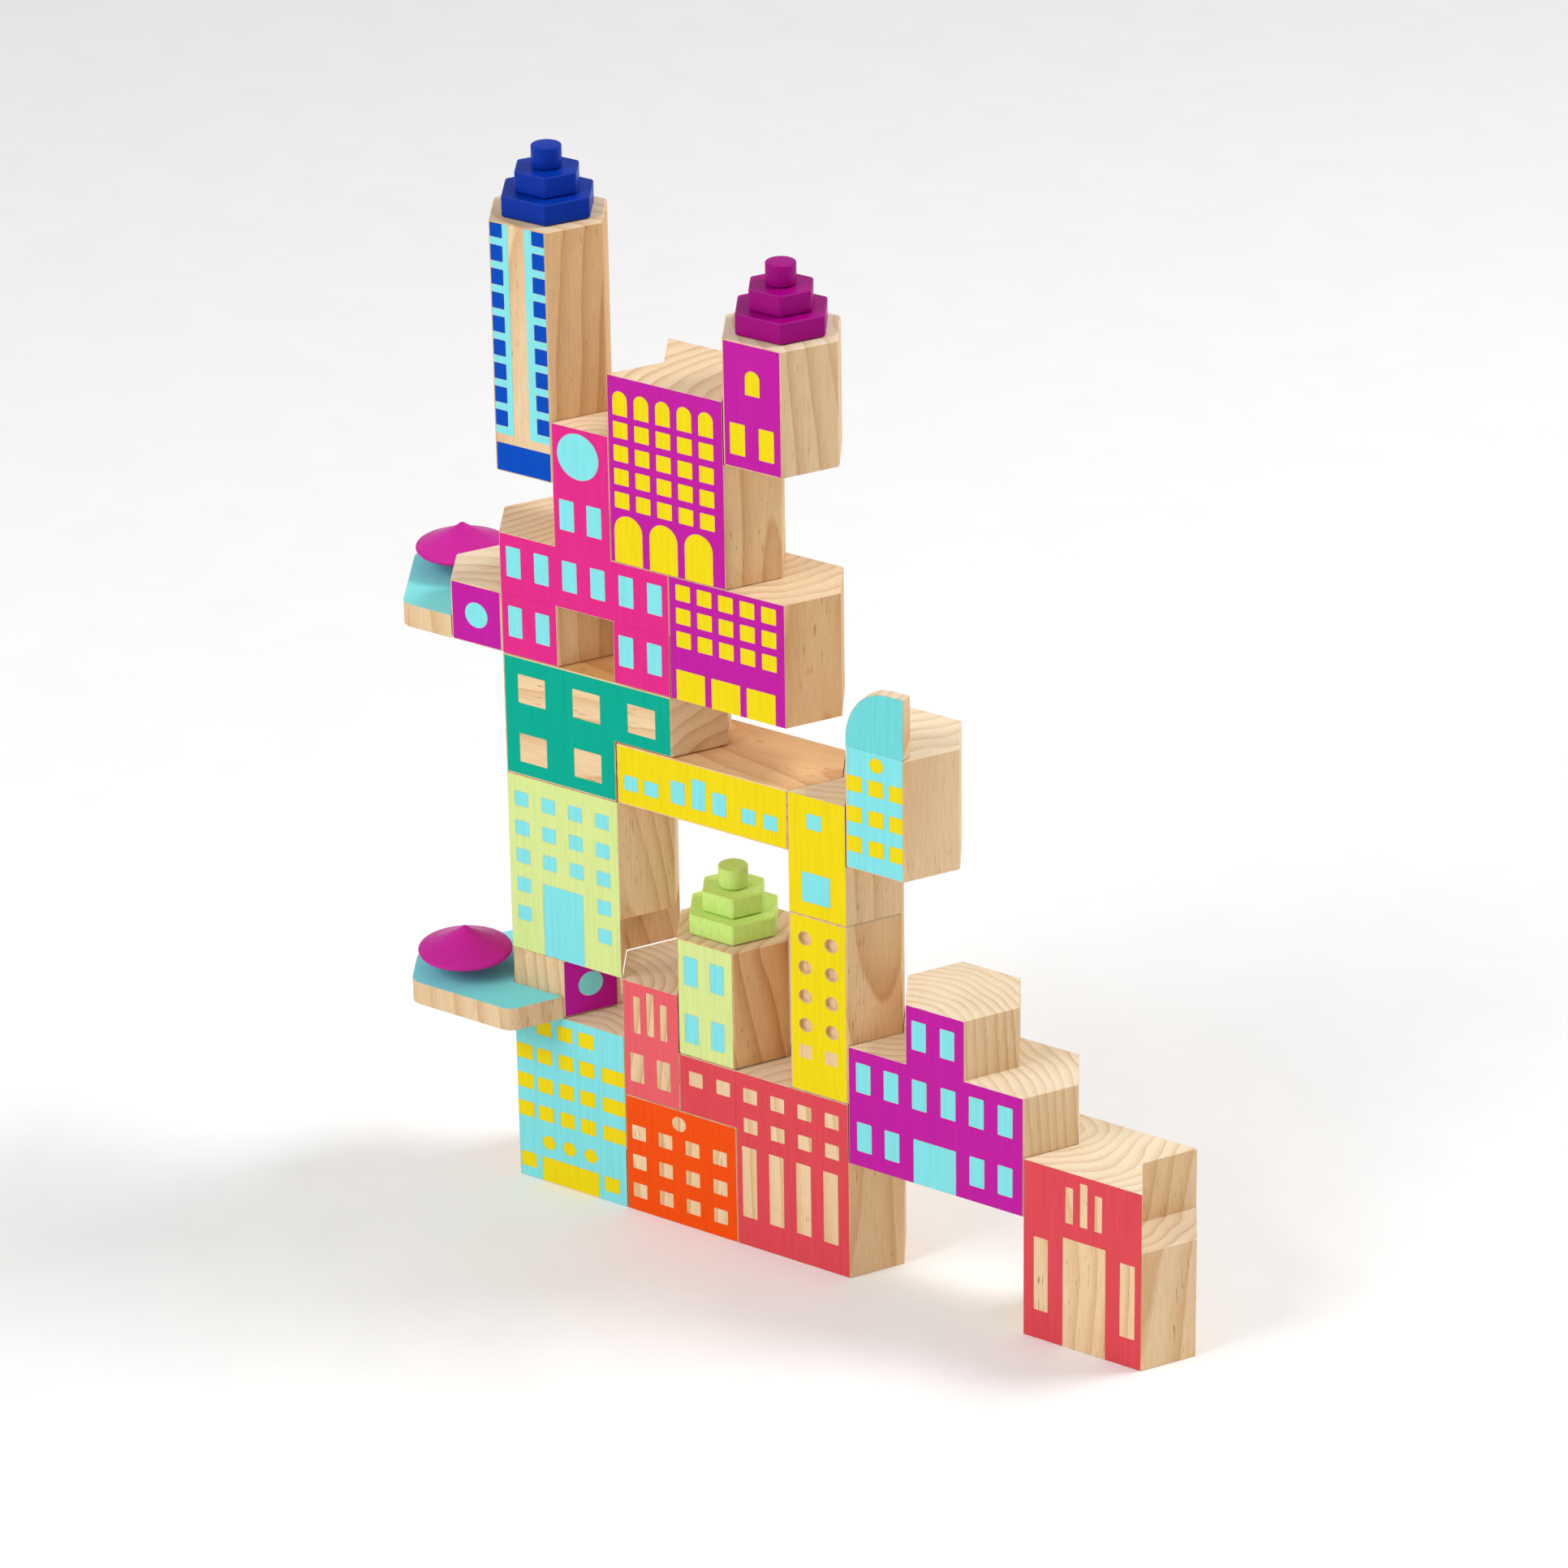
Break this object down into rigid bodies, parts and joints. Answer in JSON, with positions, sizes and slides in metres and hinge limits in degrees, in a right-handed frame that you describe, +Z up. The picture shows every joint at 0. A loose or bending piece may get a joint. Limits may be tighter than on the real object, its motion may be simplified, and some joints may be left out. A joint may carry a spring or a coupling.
{
  "type": "stacking city blocks",
  "caption": "Painted pine city blocks with keyed hexagonal ends, stacked as a tower beside a row of low houses; the blocks lift or slide off one another.",
  "frame": {"origin": "on the floor, at the middle of the red hall's footprint", "axes": "+Z up, +X along the row of facades towards the gate house, the facades face -Y"},
  "size_m": [0.3391, 0.0752, 0.3999],
  "materials": {
    "pine": "bare sanded pine with a painted facade",
    "green_paint": "satin paint on pine",
    "aqua_paint": "satin paint on pine",
    "pine_dowel": "bare sanded pine with a painted facade",
    "magenta_paint": "satin paint on pine",
    "blue_paint": "satin paint on pine",
    "teal_paint": "satin paint on a pine facade",
    "yellow_paint": "satin paint on a pine facade",
    "lime_paint": "satin paint on a pine facade",
    "orange_paint": "satin paint on a pine facade",
    "red_paint": "satin paint on a pine facade",
    "purple_paint": "satin paint on a pine facade"
  },
  "bodies": {
    "red_hall_block": {"red_hall": "pine", "red_hall_wing": "pine"},
    "orange_house_block": {"orange_house": "pine"},
    "aqua_store_block": {"aqua_store": "pine"},
    "red_slit_block": {"red_slit_house": "pine"},
    "lime_small_tower_block": {"lime_small_tower": "pine", "lime_small_tower_crown_base": "green_paint", "lime_small_tower_crown_middle": "green_paint", "lime_small_tower_crown_peg": "green_paint"},
    "lower_disc_block": {"lower_disc_room": "pine", "lower_disc_terrace": "aqua_paint", "lower_disc_dowel": "pine_dowel", "lower_disc_cone": "magenta_paint"},
    "lime_tall_block": {"lime_tall_house": "pine"},
    "teal_block_body": {"teal_block": "pine"},
    "pink_hall_block": {"pink_hall": "pine", "pink_left_leg": "pine", "pink_right_leg": "pine"},
    "upper_disc_block": {"upper_disc_room": "pine", "upper_disc_terrace": "aqua_paint", "upper_disc_dowel": "pine_dowel", "upper_disc_cone": "magenta_paint"},
    "blue_tower_block": {"blue_tower": "pine", "blue_tower_crown_base": "blue_paint", "blue_tower_crown_middle": "blue_paint", "blue_tower_crown_peg": "blue_paint"},
    "purple_arcade_block": {"purple_arcade": "pine"},
    "purple_turret_block": {"purple_turret": "pine", "purple_turret_crown_base": "magenta_paint", "purple_turret_crown_middle": "magenta_paint", "purple_turret_crown_peg": "magenta_paint"},
    "purple_garage_block": {"purple_garage": "pine"},
    "yellow_perforated_block": {"yellow_perforated_tower": "pine"},
    "yellow_upper_block": {"yellow_upper_tower": "pine"},
    "yellow_bridge_block": {"yellow_bridge": "pine"},
    "aqua_arch_block": {"aqua_arch_tower": "pine", "aqua_arch_parapet": "pine"},
    "purple_hall_block": {"purple_hall": "pine"},
    "red_gate_block": {"red_gate_house": "pine"}
  },
  "joints": [
    {"name": "orange_house_slide", "type": "slide", "parent": "red_hall_block", "child": "orange_house_block", "axis": [-1, 0, 0], "range_m": [0, 0.01]},
    {"name": "aqua_store_slide", "type": "slide", "parent": "orange_house_block", "child": "aqua_store_block", "axis": [-1, 0, 0], "range_m": [0, 0.01]},
    {"name": "lower_disc_slide", "type": "slide", "parent": "aqua_store_block", "child": "lower_disc_block", "axis": [-0.5, -0.866, 0], "range_m": [0, 0.008]},
    {"name": "lime_tall_slide", "type": "slide", "parent": "lower_disc_block", "child": "lime_tall_block", "axis": [-0.5, 0.866, 0], "range_m": [0, 0.008]},
    {"name": "teal_block_slide", "type": "slide", "parent": "lime_tall_block", "child": "teal_block_body", "axis": [-0.5, -0.866, 0], "range_m": [0, 0.008]},
    {"name": "pink_hall_slide", "type": "slide", "parent": "teal_block_body", "child": "pink_hall_block", "axis": [-0.5, 0.866, 0], "range_m": [0, 0.008]},
    {"name": "purple_garage_slide", "type": "slide", "parent": "teal_block_body", "child": "purple_garage_block", "axis": [1, 0, 0], "range_m": [0, 0.012]},
    {"name": "upper_disc_slide", "type": "slide", "parent": "pink_hall_block", "child": "upper_disc_block", "axis": [-1, 0, 0], "range_m": [0, 0.01]},
    {"name": "blue_tower_lift", "type": "slide", "parent": "pink_hall_block", "child": "blue_tower_block", "axis": [0, 0, 1], "range_m": [0, 0.03]},
    {"name": "purple_arcade_lift", "type": "slide", "parent": "pink_hall_block", "child": "purple_arcade_block", "axis": [0, 0, 1], "range_m": [0, 0.02]},
    {"name": "purple_turret_lift", "type": "slide", "parent": "purple_arcade_block", "child": "purple_turret_block", "axis": [0, 0, 1], "range_m": [0, 0.02]},
    {"name": "red_slit_lift", "type": "slide", "parent": "orange_house_block", "child": "red_slit_block", "axis": [0, 0, 1], "range_m": [0, 0.014]},
    {"name": "lime_small_tower_slide", "type": "slide", "parent": "red_slit_block", "child": "lime_small_tower_block", "axis": [0.5, -0.866, 0], "range_m": [0, 0.01]},
    {"name": "yellow_bridge_slide", "type": "slide", "parent": "red_hall_block", "child": "yellow_bridge_block", "axis": [1, 0, 0], "range_m": [0, 0.006]},
    {"name": "yellow_upper_slide", "type": "slide", "parent": "red_hall_block", "child": "yellow_upper_block", "axis": [1, 0, 0], "range_m": [0, 0.012]},
    {"name": "yellow_perforated_slide", "type": "slide", "parent": "red_hall_block", "child": "yellow_perforated_block", "axis": [-0.5, 0.866, 0], "range_m": [0, 0.01]},
    {"name": "aqua_arch_lift", "type": "slide", "parent": "yellow_upper_block", "child": "aqua_arch_block", "axis": [0, 0, 1], "range_m": [0, 0.025]},
    {"name": "purple_hall_slide", "type": "slide", "parent": "red_hall_block", "child": "purple_hall_block", "axis": [1, 0, 0], "range_m": [0, 0.01]},
    {"name": "red_gate_slide", "type": "slide", "parent": "purple_hall_block", "child": "red_gate_block", "axis": [1, 0, 0], "range_m": [0, 0.015]}
  ],
  "couplings": [
    {"joint": "yellow_upper_slide", "follows": "yellow_bridge_slide", "ratio": 2}
  ]
}
